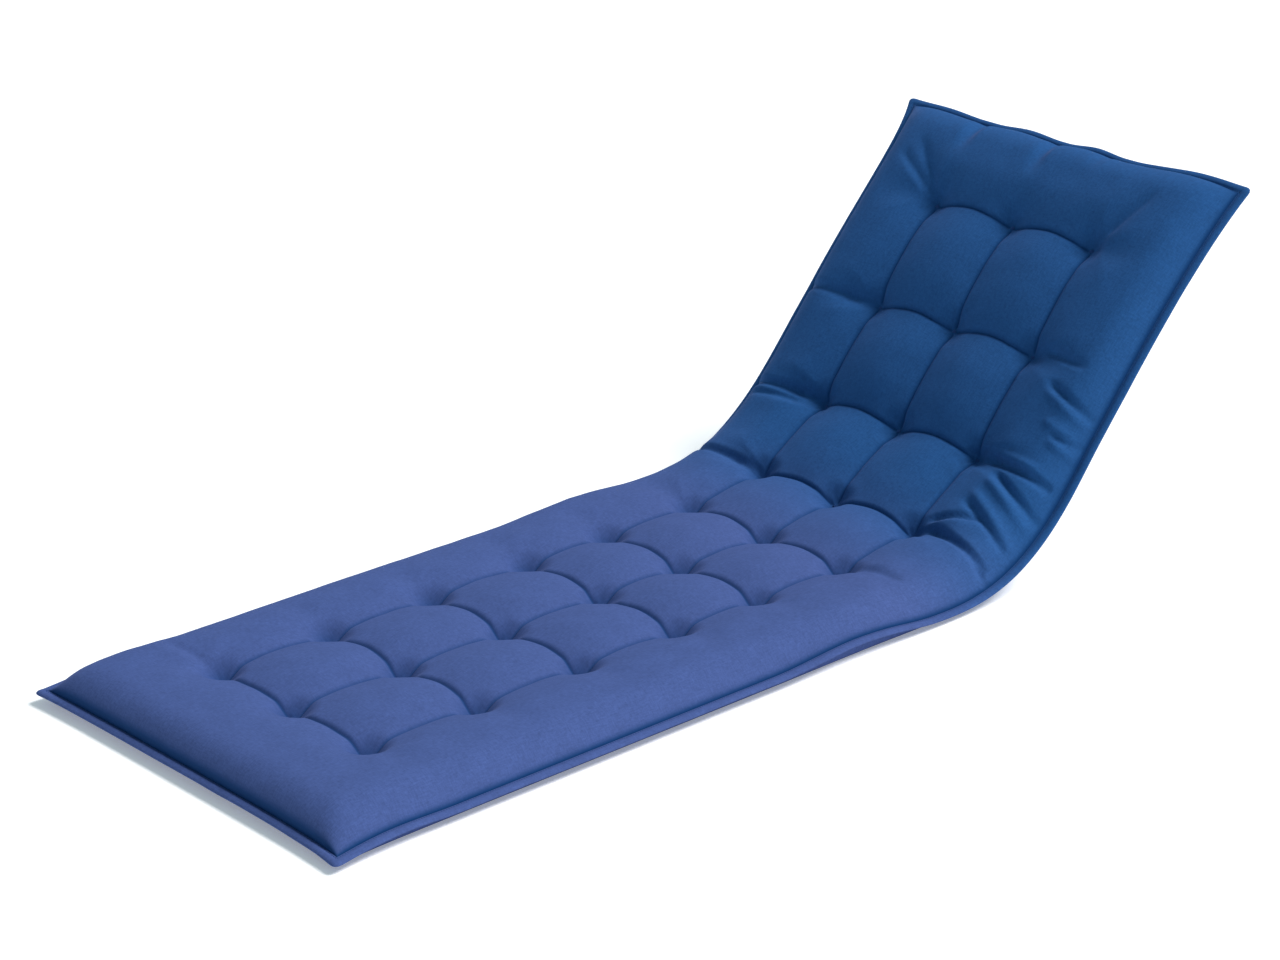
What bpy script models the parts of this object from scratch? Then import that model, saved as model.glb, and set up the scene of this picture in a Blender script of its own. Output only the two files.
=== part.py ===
"""A tufted sun lounger cushion, lying flat at the seat and bent up over the back.

The cloth is laid out in strip coordinates: a station runs along the cloth from the foot
edge to the head edge, across runs from the near side (negative) to the far side, and
height stands off the flat sewn edge. The strip is then bent along its side profile.
The two pieces are the filled pad and the flat flange sewn round it.
"""

import math
from collections import namedtuple

import bmesh
import bpy
from mathutils import Vector

# Driving sizes, in metres
LENGTH = 2.000
WIDTH = 0.700
FLANGE_WIDTH = 0.014
FLANGE_THICKNESS = 0.005
SEAM_THICKNESS = 0.003
SEAM_GAP = 0.0003
UNDERSIDE_DROP = 0.019
CROWN = 0.047

# The side profile: a flat seat, one long bend, and a back that eases towards the head
BEND_START = 1.05
BEND_LENGTH = 0.50
BACK_TURN = math.radians(49.0)
HEAD_EASE_START = 1.60
HEAD_EASE = math.radians(7.0)
FLOOR_END = 1.19
PROFILE_STEP = 0.005

# The tufts: ten rows along the cloth, in three columns across it. Each has a wide funnel
# and a tight pit at its stitch, and each crease has a wide valley and a tight fold.
TUFT_ROWS = (0.193, 0.385, 0.575, 0.760, 0.923, 1.099, 1.261, 1.436, 1.623, 1.816)
TUFT_SPACING_ACROSS = 0.1665
TUFT_COLUMNS = (-TUFT_SPACING_ACROSS, 0.0, TUFT_SPACING_ACROSS)
TUFT_DEPTH = 0.015
TUFT_REACH = 0.085
TUFT_POWER = 1.6
STITCH_DEPTH = 0.005
STITCH_REACH = 0.022
CREASE_DEPTH = 0.010
CREASE_REACH = 0.070
FOLD_DEPTH = 0.005
FOLD_REACH = 0.018
CREASE_POWER = 2.0
ROW_BOW = 0.008
UNDER_TUFT_DEPTH = 0.012
UNDER_TUFT_REACH = 0.050

# The filled edge rolls up steeply from the seam, then eases on to the full crown
EDGE_ROLL = 0.048
EDGE_SHARE = 0.74
SHOULDER_ROLL = 0.130
UNDER_ROLL = 0.009
UNDER_INSET = 0.0025

# The sides and ends pull in a little between the corners
SIDE_DRAW = 0.003
END_DRAW = 0.003
CORNER_REACH = 0.060

# Mesh steps in each interval between tufts, and between the outer tufts and the seam
CELL_STEPS = 8
BORDER_STEPS = 8
GATHER = 0.70
UNDER_SKIP = 2

# A soft trough in the filling, from one point of the cloth to another
Trough = namedtuple("Trough", "station across to_station to_across depth reach")

# A corner of the cloth: how far its ear reaches past the plain rectangle
Corner = namedtuple("Corner", "at_head at_far out_along out_across lift")

# A lift or droop of the sewn edge, along a side of the cloth
Wave = namedtuple("Wave", "station reach near_lift far_lift")

# A stretch of the head edge that bulges out along the cloth
Bulge = namedtuple("Bulge", "across reach out_along")

CORNERS = (
    Corner(at_head=False, at_far=False, out_along=0.006, out_across=0.004, lift=-0.006),
    Corner(at_head=False, at_far=True, out_along=0.003, out_across=0.004, lift=-0.002),
    Corner(at_head=True, at_far=False, out_along=0.002, out_across=0.006, lift=0.0),
    Corner(at_head=True, at_far=True, out_along=-0.006, out_across=0.026, lift=0.0),
)

HEAD_BULGES = (
    Bulge(across=-0.255, reach=0.13, out_along=0.010),
    Bulge(across=0.285, reach=0.09, out_along=0.010),
)

FOLDS = (
    Trough(station=1.816, across=0.166, to_station=1.94, to_across=0.27, depth=0.012, reach=0.045),
    Trough(station=1.816, across=-0.166, to_station=1.95, to_across=-0.25, depth=0.010, reach=0.045),
    Trough(station=1.99, across=0.176, to_station=1.88, to_across=0.165, depth=0.010, reach=0.025),
    Trough(station=1.99, across=0.020, to_station=1.88, to_across=0.010, depth=0.008, reach=0.025),
    Trough(station=0.193, across=0.166, to_station=0.09, to_across=0.27, depth=0.007, reach=0.050),
    Trough(station=0.193, across=-0.166, to_station=0.09, to_across=-0.27, depth=0.005, reach=0.050),
)

# Troughs from the outer tufts of every row towards the sides, deepest along the bend
ROW_TROUGH_DEPTH = 0.005
ROW_TROUGH_LENGTH = 0.140
ROW_TROUGH_REACH = 0.040
BEND_TROUGH_DEPTH = 0.008
BEND_TROUGH_STATION = 1.430
BEND_TROUGH_SPREAD = 0.500

WAVES = (
    Wave(station=0.10, reach=0.09, near_lift=0.004, far_lift=0.003),
    Wave(station=0.96, reach=0.16, near_lift=0.009, far_lift=0.005),
    Wave(station=1.28, reach=0.26, near_lift=-0.018, far_lift=-0.014),
)

# The flange's section: where its double layer is full, as shares of its width
FLANGE_FULL_FROM = 0.45
FLANGE_FULL_TO = 0.85

# Material colours, as linear red, green and blue, and how matt the cloth is
PAD_BLUE = (0.052, 0.105, 0.330, 1.0)
FLANGE_BLUE = (0.060, 0.110, 0.300, 1.0)
CLOTH_ROUGHNESS = 0.9
SHARP_ANGLE = math.radians(50.0)


def smooth(value):
    """Ease from 0 to 1 as value goes from 0 to 1."""
    value = min(max(value, 0.0), 1.0)
    return value * value * (3.0 - 2.0 * value)


def bump(offset, reach):
    """A rounded bump, 1 at offset 0 and falling to 0 at the reach."""
    closeness = max(0.0, 1.0 - abs(offset) / reach)
    return smooth(closeness)


def slope(station):
    """Angle of the cloth above the floor at a station."""
    turned = BACK_TURN * smooth((station - BEND_START) / BEND_LENGTH)
    eased = HEAD_EASE * smooth((station - HEAD_EASE_START) / (LENGTH - HEAD_EASE_START))
    return turned - eased


def side_profile():
    """Points (x, z) of the sewn edge's plane, one for each step along the cloth."""
    points = [(0.0, UNDERSIDE_DROP)]
    for step in range(round(LENGTH / PROFILE_STEP)):
        angle = slope((step + 0.5) * PROFILE_STEP)
        x, z = points[-1]
        points.append((x + PROFILE_STEP * math.cos(angle), z + PROFILE_STEP * math.sin(angle)))
    return points


PROFILE = side_profile()


def place(station, across, height):
    """The point in space of a point of the cloth."""
    position = min(max(station, 0.0), LENGTH) / PROFILE_STEP
    index = min(int(position), len(PROFILE) - 2)
    part = position - index
    low, high = PROFILE[index], PROFILE[index + 1]
    angle = slope(station)
    beyond = station - min(max(station, 0.0), LENGTH)
    x = low[0] + (high[0] - low[0]) * part + beyond * math.cos(angle)
    z = low[1] + (high[1] - low[1]) * part + beyond * math.sin(angle)
    return Vector((x - height * math.sin(angle), across, z + height * math.cos(angle)))


def eased_steps(start, stop, count):
    """Stations from start to stop, gathered towards both ends."""
    stations = []
    for step in range(count + 1):
        share = step / count
        share -= GATHER * math.sin(2.0 * math.pi * share) / (2.0 * math.pi)
        stations.append(start + (stop - start) * share)
    return stations


def grid_lines(low, stops, high):
    """Mesh lines from one seam to the other, with a line through every tuft."""
    marks = [low, *stops, high]
    lines = [low]
    for index in range(len(marks) - 1):
        at_border = index in (0, len(marks) - 2)
        count = BORDER_STEPS if at_border else CELL_STEPS
        lines.extend(eased_steps(marks[index], marks[index + 1], count)[1:])
    return lines


def edge_distances(station, across):
    """Distance in from the nearer end seam and from the nearer side seam."""
    from_end = min(station, LENGTH - station) - FLANGE_WIDTH
    from_side = WIDTH / 2.0 - abs(across) - FLANGE_WIDTH
    return max(from_end, 0.0), max(from_side, 0.0)


def rolled_edge(distance, reach):
    """Quarter-round rise from 0 at the seam to 1 at the reach."""
    left = 1.0 - min(distance / reach, 1.0)
    return math.sqrt(1.0 - left * left)


def filled_edge(distance):
    """The share of the crown that the filling reaches at a distance in from the seam."""
    steep = EDGE_SHARE * rolled_edge(distance, EDGE_ROLL)
    return steep + (1.0 - EDGE_SHARE) * rolled_edge(distance, SHOULDER_ROLL)


def corner_share(corner, station, across):
    """How much of a corner's shape a point takes, 1 at its tip and fading inwards."""
    corner_station = LENGTH if corner.at_head else 0.0
    corner_across = WIDTH / 2.0 if corner.at_far else -WIDTH / 2.0
    distance = math.hypot(station - corner_station, across - corner_across)
    return math.exp(-distance / CORNER_REACH)


def outline(station, across):
    """Move a point of the plain rectangle to the cloth's drawn-in outline."""
    half_width = WIDTH / 2.0
    end_gap = min(station, LENGTH - station)
    side_gap = half_width - abs(across)
    side_pull = SIDE_DRAW * (1.0 - math.exp(-max(end_gap, 0.0) / CORNER_REACH))
    end_pull = END_DRAW * (1.0 - math.exp(-max(side_gap, 0.0) / CORNER_REACH))
    to_side = smooth(abs(across) / half_width * 2.0 - 1.0)
    to_end = math.exp(-max(end_gap, 0.0) / CORNER_REACH)
    moved_across = across - math.copysign(side_pull * to_side, across)
    towards_middle = 1.0 if station < LENGTH / 2.0 else -1.0
    moved_station = station + towards_middle * end_pull * to_end
    if station > LENGTH / 2.0:
        for bulge in HEAD_BULGES:
            moved_station += bulge.out_along * bump(across - bulge.across, bulge.reach) * to_end
    for corner in CORNERS:
        share = corner_share(corner, station, across)
        moved_station += (1.0 if corner.at_head else -1.0) * corner.out_along * share
        moved_across += (1.0 if corner.at_far else -1.0) * corner.out_across * share
    return moved_station, moved_across


def edge_lift(station, across):
    """Height of the sewn edge above its plane, fading out into the pad."""
    half_width = WIDTH / 2.0
    nearness = smooth(1.0 - (half_width - abs(across)) / SHOULDER_ROLL)
    lift = 0.0
    for wave in WAVES:
        side_lift = wave.far_lift if across > 0.0 else wave.near_lift
        lift += side_lift * bump(station - wave.station, wave.reach) * nearness
    for corner in CORNERS:
        lift += corner.lift * corner_share(corner, station, across)
    return lift


def row_troughs():
    """Soft troughs from the outer tufts of each row towards the side edges."""
    troughs = []
    for station in TUFT_ROWS:
        bent = bump(station - BEND_TROUGH_STATION, BEND_TROUGH_SPREAD)
        depth = ROW_TROUGH_DEPTH + BEND_TROUGH_DEPTH * bent
        for start in (-TUFT_SPACING_ACROSS, TUFT_SPACING_ACROSS):
            end = start + math.copysign(ROW_TROUGH_LENGTH, start)
            troughs.append(Trough(station, start, station, end, depth, ROW_TROUGH_REACH))
    return troughs


TROUGHS = [*FOLDS, *row_troughs()]


def pinch(distance, depth, reach, power):
    """A sharp dip, deepest at distance 0 and gone at the reach."""
    return depth * max(0.0, 1.0 - distance / reach) ** power


def trough_dip(station, across):
    """How far the troughs press the top down at a point."""
    deepest = 0.0
    for trough in TROUGHS:
        run_station = trough.to_station - trough.station
        run_across = trough.to_across - trough.across
        run = math.hypot(run_station, run_across)
        from_station = station - trough.station
        from_across = across - trough.across
        along = (from_station * run_station + from_across * run_across) / (run * run)
        if 0.0 <= along <= 1.0:
            aside = abs(from_station * run_across - from_across * run_station) / run
            dip = trough.depth * bump(aside, trough.reach) * (1.0 - smooth(along))
            deepest = max(deepest, dip)
    return deepest


def crease_dip(station, across):
    """How far the creases between tufts press the top down at a point."""
    offsets = []
    if abs(across) <= TUFT_SPACING_ACROSS:
        offsets.append(min(abs(station - row) for row in TUFT_ROWS))
    if TUFT_ROWS[0] <= station <= TUFT_ROWS[-1]:
        offsets.append(min(abs(across - column) for column in TUFT_COLUMNS))
    if not offsets:
        return 0.0
    offset = min(offsets)
    valley = pinch(offset, CREASE_DEPTH, CREASE_REACH, CREASE_POWER)
    return valley + pinch(offset, FOLD_DEPTH, FOLD_REACH, CREASE_POWER)


def tuft_dip(station, across, depth, reach):
    """The funnel round each tuft."""
    total = 0.0
    for row in TUFT_ROWS:
        for column in TUFT_COLUMNS:
            distance = math.hypot(station - row, across - column)
            total += pinch(distance, depth, reach, TUFT_POWER)
    return total


def top_height(station, across):
    """Height of the top panel above the sewn edge."""
    from_end, from_side = edge_distances(station, across)
    filled = filled_edge(from_end) * filled_edge(from_side)
    dips = max(crease_dip(station, across), trough_dip(station, across))
    dips += tuft_dip(station, across, TUFT_DEPTH, TUFT_REACH)
    dips += tuft_dip(station, across, STITCH_DEPTH, STITCH_REACH)
    height = filled * (CROWN - dips) + SEAM_THICKNESS / 2.0
    return height + edge_lift(station, across)


def under_height(station, across):
    """Height of the bottom panel, below the sewn edge."""
    from_end, from_side = edge_distances(station, across)
    filled = rolled_edge(from_end, UNDER_ROLL) * rolled_edge(from_side, UNDER_ROLL)
    dip = tuft_dip(station, across, UNDER_TUFT_DEPTH, UNDER_TUFT_REACH)
    depth = UNDERSIDE_DROP - SEAM_THICKNESS / 2.0 - dip
    lifted = edge_lift(station, across) * (1.0 - filled)
    return -SEAM_THICKNESS / 2.0 - filled * depth + lifted


def row_bow(station, across):
    """How far the creases of a row bow towards the head between two tufts."""
    if abs(across) > TUFT_SPACING_ACROSS or not TUFT_ROWS[0] < station < LENGTH:
        return 0.0
    between = math.sin(math.pi * across / TUFT_SPACING_ACROSS) ** 2
    fade = 1.0 - smooth((station - TUFT_ROWS[-1]) / SHOULDER_ROLL)
    return ROW_BOW * between * fade * smooth((station - TUFT_ROWS[0]) / SHOULDER_ROLL)


def cloth_point(station, across, height):
    """A point of the cloth in space, drawn in to the outline."""
    moved_station, moved_across = outline(station, across)
    return place(moved_station + row_bow(station, across), moved_across, height)


def top_point(station, across):
    """A point of the top panel."""
    return cloth_point(station, across, top_height(station, across))


def under_point(station, across):
    """A point of the bottom panel, pressed flat where it meets the floor."""
    point = cloth_point(station, across, under_height(station, across))
    if station < FLOOR_END:
        from_end, from_side = edge_distances(station, across)
        pressed = rolled_edge(from_end, UNDER_ROLL) * rolled_edge(from_side, UNDER_ROLL)
        dip = tuft_dip(station, across, UNDER_TUFT_DEPTH, UNDER_TUFT_REACH)
        if pressed > 0.999 and dip <= 0.0:
            point.z = 0.0
    point.z = max(point.z, 0.0)
    return point


def add_sheet(mesh, stations, acrosses, point_at):
    """Add a grid of faces and return its rows of vertices."""
    rows = []
    for station in stations:
        rows.append([mesh.verts.new(point_at(station, across)) for across in acrosses])
    for low, high in zip(rows, rows[1:]):
        for index in range(len(acrosses) - 1):
            mesh.faces.new((low[index], high[index], high[index + 1], low[index + 1]))
    return rows


def boundary(rows):
    """The vertices round the edge of a grid, in order."""
    near = [row[0] for row in rows]
    far = [row[-1] for row in rows]
    return near + rows[-1][1:-1] + far[::-1] + rows[0][1:-1][::-1]


def loop_edges(mesh, loop):
    """The edges of a closed loop of vertices."""
    return [mesh.edges.get((vertex, loop[index - 1])) for index, vertex in enumerate(loop)]


def join_loops(mesh, upper, lower):
    """Faces between two closed loops with the same number of vertices."""
    for index in range(len(upper)):
        mesh.faces.new((upper[index - 1], upper[index], lower[index], lower[index - 1]))


def seam_lines():
    """Mesh lines along and across the pad, from seam to seam."""
    stations = grid_lines(FLANGE_WIDTH, TUFT_ROWS, LENGTH - FLANGE_WIDTH)
    half = WIDTH / 2.0 - FLANGE_WIDTH
    acrosses = grid_lines(-half, TUFT_COLUMNS, half)
    return stations, acrosses


def seam_path():
    """Stations and acrosses round the seam, with each point's way out to the edge."""
    stations, acrosses = seam_lines()
    path = []
    first, last = stations[0], stations[-1]
    near, far = acrosses[0], acrosses[-1]
    for station in stations:
        along = (station == last) - (station == first)
        path.append((station, near, along, -1))
    for across in acrosses[1:-1]:
        path.append((last, across, 1, 0))
    for station in reversed(stations):
        along = (station == last) - (station == first)
        path.append((station, far, along, 1))
    for across in reversed(acrosses[1:-1]):
        path.append((first, across, -1, 0))
    return path


def fabric(name, colour):
    """A plain cloth material."""
    material = bpy.data.materials.new(name)
    material.use_nodes = True
    shader = material.node_tree.nodes["Principled BSDF"]
    shader.inputs["Base Color"].default_value = colour
    shader.inputs["Roughness"].default_value = CLOTH_ROUGHNESS
    shader.inputs["Metallic"].default_value = 0.0
    return material


def add_object(name, mesh, material):
    """Turn a finished bmesh into an object with smooth shading."""
    bmesh.ops.recalc_face_normals(mesh, faces=mesh.faces)
    bmesh.ops.triangulate(mesh, faces=mesh.faces)
    data = bpy.data.meshes.new(name)
    mesh.to_mesh(data)
    mesh.free()
    data.shade_smooth()
    data.set_sharp_from_angle(angle=SHARP_ANGLE)
    data.materials.append(material)
    piece = bpy.data.objects.new(name, data)
    bpy.context.scene.collection.objects.link(piece)
    return piece


def under_lines(lines):
    """Fewer mesh lines for the bottom panel, with two round its steep edge."""
    low, high = lines[0], lines[-1]
    inner = lines[UNDER_SKIP:-UNDER_SKIP:UNDER_SKIP]
    return [low + UNDER_INSET, low + UNDER_ROLL, *inner, high - UNDER_ROLL, high - UNDER_INSET]


def make_pad():
    """The filled pad: a fine top panel and a coarser bottom one, joined at the seam."""
    mesh = bmesh.new()
    stations, acrosses = seam_lines()
    top = add_sheet(mesh, stations, acrosses, top_point)
    under = add_sheet(mesh, under_lines(stations), under_lines(acrosses), under_point)
    seam = []
    for station, across, _, _ in seam_path():
        height = edge_lift(station, across) - SEAM_THICKNESS / 2.0
        seam.append(mesh.verts.new(cloth_point(station, across, height)))
    join_loops(mesh, boundary(top), seam)
    edges = loop_edges(mesh, seam) + loop_edges(mesh, boundary(under))
    bmesh.ops.bridge_loops(mesh, edges=edges)
    return add_object("pad", mesh, fabric("pad_cloth", PAD_BLUE))


def flange_section():
    """The flange's cross-section: way out from the seam, and height, in order."""
    thin, thick = SEAM_THICKNESS / 2.0, FLANGE_THICKNESS / 2.0
    inner, outer = FLANGE_WIDTH * FLANGE_FULL_FROM, FLANGE_WIDTH * FLANGE_FULL_TO
    upper = ((SEAM_GAP, thin), (inner, thick), (outer, thick))
    lower = ((outer, -thick), (inner, -thick), (SEAM_GAP, -thin))
    return (*upper, (FLANGE_WIDTH, 0.0), *lower)


def make_flange():
    """The flat flange: one closed ring round the pad's seam."""
    mesh = bmesh.new()
    section = flange_section()
    rings = []
    for station, across, along_out, across_out in seam_path():
        ring = []
        for out, height in section:
            outer_station = station + along_out * out
            outer_across = across + across_out * out
            lift = edge_lift(station, across)
            point = cloth_point(outer_station, outer_across, height + lift)
            ring.append(mesh.verts.new(point))
        rings.append(ring)
    for ring_index, ring in enumerate(rings):
        following = rings[(ring_index + 1) % len(rings)]
        for index in range(len(section)):
            after = (index + 1) % len(section)
            mesh.faces.new((ring[index], ring[after], following[after], following[index]))
    return add_object("edge_flange", mesh, fabric("flange_cloth", FLANGE_BLUE))


def centre_on_origin(pieces):
    """Move the pieces so that the middle of their footprint is at the origin."""
    points = [vertex.co for piece in pieces for vertex in piece.data.vertices]
    lows = [min(point[axis] for point in points) for axis in range(3)]
    highs = [max(point[axis] for point in points) for axis in range(3)]
    shift = Vector(((lows[0] + highs[0]) / 2.0, (lows[1] + highs[1]) / 2.0, lows[2]))
    for piece in pieces:
        for vertex in piece.data.vertices:
            vertex.co -= shift


def clear_scene():
    for item in list(bpy.data.objects):
        bpy.data.objects.remove(item)


def main():
    clear_scene()
    centre_on_origin([make_pad(), make_flange()])


main()
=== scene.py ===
"""The looks of a tufted sun lounger cushion: its cloth, folds, sewn edge, light and camera.

The cloth is laid out in strip coordinates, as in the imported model: a station runs along the
cloth from the foot edge to the head edge, across runs from the near side (negative) to the
far side, and height stands off the flat sewn edge. The strip is then bent along its side
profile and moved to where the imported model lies. All lengths are in metres.
"""

import math
from collections import namedtuple

import bmesh
import bpy
import numpy as np
from mathutils import Matrix, Vector


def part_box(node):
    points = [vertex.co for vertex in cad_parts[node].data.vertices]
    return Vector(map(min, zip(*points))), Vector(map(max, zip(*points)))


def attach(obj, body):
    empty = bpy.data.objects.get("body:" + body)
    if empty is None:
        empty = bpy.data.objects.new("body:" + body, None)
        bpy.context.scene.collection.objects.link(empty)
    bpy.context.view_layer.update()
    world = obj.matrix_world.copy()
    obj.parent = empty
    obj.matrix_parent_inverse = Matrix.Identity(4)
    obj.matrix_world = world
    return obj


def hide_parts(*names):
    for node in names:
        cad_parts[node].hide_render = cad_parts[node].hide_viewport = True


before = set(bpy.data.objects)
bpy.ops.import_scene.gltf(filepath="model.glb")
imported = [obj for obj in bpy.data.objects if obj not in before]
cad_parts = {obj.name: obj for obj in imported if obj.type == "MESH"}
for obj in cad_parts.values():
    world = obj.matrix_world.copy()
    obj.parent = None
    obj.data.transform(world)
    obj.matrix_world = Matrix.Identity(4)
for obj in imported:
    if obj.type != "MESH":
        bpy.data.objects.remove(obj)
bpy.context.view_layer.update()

# Driving sizes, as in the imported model
LENGTH = 2.000
WIDTH = 0.700
FLANGE_WIDTH = 0.014
SEAM_THICKNESS = 0.003
UNDERSIDE_DROP = 0.019
CROWN = 0.048
SEAM_LOW = FLANGE_WIDTH
SEAM_HIGH = LENGTH - FLANGE_WIDTH
SEAM_HALF_WIDTH = WIDTH / 2.0 - FLANGE_WIDTH

# The side profile: a flat seat, one long bend, and a back that eases towards the head
BEND_START = 1.05
BEND_LENGTH = 0.50
BACK_TURN = math.radians(49.0)
HEAD_EASE_START = 1.60
HEAD_EASE = math.radians(7.0)
FLOOR_END = 1.19
PROFILE_STEP = 0.005

# The tufts: ten rows along the cloth, in three columns across it. Each has a wide funnel
# and a tight pit at its stitch, and each crease has a wide valley and a tight fold.
TUFT_ROWS = (0.193, 0.385, 0.575, 0.760, 0.923, 1.099, 1.261, 1.436, 1.623, 1.816)
TUFT_SPACING_ACROSS = 0.1665
TUFT_COLUMNS = (-TUFT_SPACING_ACROSS, 0.0, TUFT_SPACING_ACROSS)
TUFT_DEPTH = 0.008
TUFT_REACH = 0.085
TUFT_POWER = 1.6
TUFT_ROUNDING = 0.004
PIT_DEPTH_ON_SEAT = 0.017
PIT_DEPTH_ON_BACK = 0.009
PIT_REACH = 0.042
CREASE_DEPTH = 0.014
CREASE_REACH = 0.085
CREASE_POWER = 2.0
FOLD_DEPTH = 0.0042
FOLD_REACH = 0.0085
FOLD_END = 0.010
FOLD_ROUNDING = 0.0008
COLUMN_FOLD_ON_SEAT = 0.70
COLUMN_FOLD_ON_BACK = 0.80
COLUMN_FOLD_FADE = 0.065
ROW_BOW = 0.008
PUCKER_HEIGHT = 0.0003
PUCKERS_ROUND_TUFT = 9
PUCKER_REACH = 0.034
PUCKER_RING_SCALE = 27.0 / 4.0
UNDER_TUFT_DEPTH = 0.012
UNDER_TUFT_REACH = 0.050
UNDER_CREASE_DEPTH = 0.0045
UNDER_CREASE_REACH = 0.045

# The filled edge rolls up from the seam, steeply at the ends, then eases on to the full crown
END_ROLL = 0.048
SIDE_ROLL = 0.060
EDGE_SHARE = 0.74
EDGE_POWER = 2.4
SHOULDER_ROLL = 0.130
UNDER_ROLL = 0.009

# The sides and ends pull in a little between the corners
SIDE_DRAW = 0.003
END_DRAW = 0.003
CORNER_REACH = 0.060

# Small unevenness of the filling, and the gathers along the seam. Each side and each end takes
# its gathers from a line of its own through the noise.
LUMP_HEIGHT = 0.0013
LUMP_CELL = 0.090
RIPPLE_HEIGHT = 0.0005
RIPPLE_CELL = 0.030
GATHER_HEIGHT = 0.0011
GATHER_CELL = 0.016
GATHER_REACH = 0.024
GATHER_SIDE_LINE = 0.2
GATHER_FOOT_LINE = 0.5
GATHER_HEAD_LINE = 1.5

# Where each set of random draws starts
LUMP_SEED = 5
RIPPLE_SEED = 6
SIDE_GATHER_SEED = 11
END_GATHER_SEED = 12
PUCKER_SEED = 21
FLANGE_RIPPLE_SEED = 31
BAR_SEED = 41

# Mesh lines in each interval between tufts, top and bottom, and how they gather at creases
TOP_STEPS_ALONG = (36, 36, 36, 36, 36, 36, 36, 52, 52, 36, 36)
TOP_STEPS_ACROSS = (44, 40, 40, 44)
UNDER_STEPS_ALONG = (14,) * 11
UNDER_STEPS_ACROSS = (14,) * 4
LINE_GATHER = 0.75
UNDER_RIMS = (0.0, 0.0008, 0.0025, 0.005, 0.009)
UNDER_GRID_GAP = 0.003
OUTLINE_STEP = 0.001
STRETCH_STEP = 0.0001

# The flange's section: shares of its width, and half its thickness there. Its inner edge is
# tucked a little way into the pad.
FLANGE_SECTION = (
    (0.02, 0.0014),
    (0.10, 0.0011),
    (0.20, 0.0011),
    (0.30, 0.0019),
    (0.42, 0.0025),
    (0.60, 0.0026),
    (0.78, 0.0025),
    (0.90, 0.0020),
    (0.97, 0.0012),
)
SEAM_TUCK = 0.0008
FLANGE_DROOP = 0.0025
FLANGE_RIPPLE = 0.0005
FLANGE_RIPPLE_CELL = 0.045
FLANGE_POINT_STEP = 0.004

# A flange corner's outline, as shares of the flange's width out from the two sides that meet
ROUNDED_CORNER = (
    (1.00, 0.00),
    (1.00, 0.30),
    (0.95, 0.57),
    (0.80, 0.80),
    (0.57, 0.95),
    (0.30, 1.00),
    (0.00, 1.00),
)

# The thread: a row of small stitches in the flange's groove, and a bar in every tuft
STITCH_PITCH = 0.0042
STITCH_LENGTH = 0.0031
STITCH_OUT = 0.15
THREAD_RADIUS = 0.00038
THREAD_SIDES = 6
BAR_LENGTH = 0.0075
BAR_THREADS = 5
BAR_THREAD_RADIUS = 0.00055
BAR_THREAD_SPACING = 1.7
BAR_TURN = 0.5
BAR_LIFT = 0.0005
LIFT_PROBE = 0.01

# A stitch from end to end: shares of its length, and its radius and rise as shares of the thread's
THREAD_SHARES = np.array([0.0, 0.18, 0.5, 0.82, 1.0])
THREAD_WIDTHS = np.array([0.35, 0.9, 1.0, 0.9, 0.35])
THREAD_RISES = np.array([-0.8, 0.5, 0.9, 0.5, -0.8])

Corner = namedtuple("Corner", "at_head at_far out_along out_across lift")
Bulge = namedtuple("Bulge", "across reach out_along")
Wave = namedtuple("Wave", "station reach near_lift far_lift")
Fold = namedtuple("Fold", "station across to_station to_across depth reach")

CORNERS = (
    Corner(at_head=False, at_far=False, out_along=0.006, out_across=0.004, lift=-0.006),
    Corner(at_head=False, at_far=True, out_along=0.003, out_across=0.004, lift=-0.002),
    Corner(at_head=True, at_far=False, out_along=0.002, out_across=0.006, lift=0.0),
    Corner(at_head=True, at_far=True, out_along=0.004, out_across=0.027, lift=0.0),
)

HEAD_BULGES = (
    Bulge(across=-0.255, reach=0.13, out_along=0.009),
    Bulge(across=0.100, reach=0.07, out_along=0.005),
    Bulge(across=-0.045, reach=0.06, out_along=0.005),
    Bulge(across=0.275, reach=0.08, out_along=0.004),
)

WAVES = (
    Wave(station=0.10, reach=0.12, near_lift=0.004, far_lift=0.007),
    Wave(station=0.96, reach=0.16, near_lift=0.009, far_lift=0.008),
    Wave(station=1.28, reach=0.26, near_lift=-0.018, far_lift=-0.006),
)

# Soft troughs in the filling, deepest at their first end. Each row gives a fold's start and end,
# as station and across, then its depth and its reach.
TROUGHS = (
    Fold(1.816, 0.166, 1.94, 0.27, 0.012, 0.045),
    Fold(1.816, -0.166, 1.95, -0.25, 0.010, 0.045),
    Fold(1.99, 0.176, 1.90, 0.165, 0.020, 0.022),
    Fold(1.99, 0.020, 1.90, 0.008, 0.017, 0.020),
    Fold(1.99, -0.092, 1.93, -0.090, 0.007, 0.018),
    Fold(0.193, 0.166, 0.09, 0.27, 0.007, 0.050),
    Fold(0.193, -0.166, 0.09, -0.27, 0.005, 0.050),
)
ROW_TROUGH_DEPTH = 0.009
ROW_TROUGH_LENGTH = 0.140
ROW_TROUGH_REACH = 0.046
BEND_TROUGH_DEPTH = 0.012
BEND_TROUGH_STATION = 1.430
BEND_TROUGH_SPREAD = 0.500

# How much of a wrinkle's length it fades over: at its start, at a free end, and at the seam
WRINKLE_START_FADE = 0.25
WRINKLE_END_FADE = 0.30
WRINKLE_SEAM_FADE = 0.06

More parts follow.
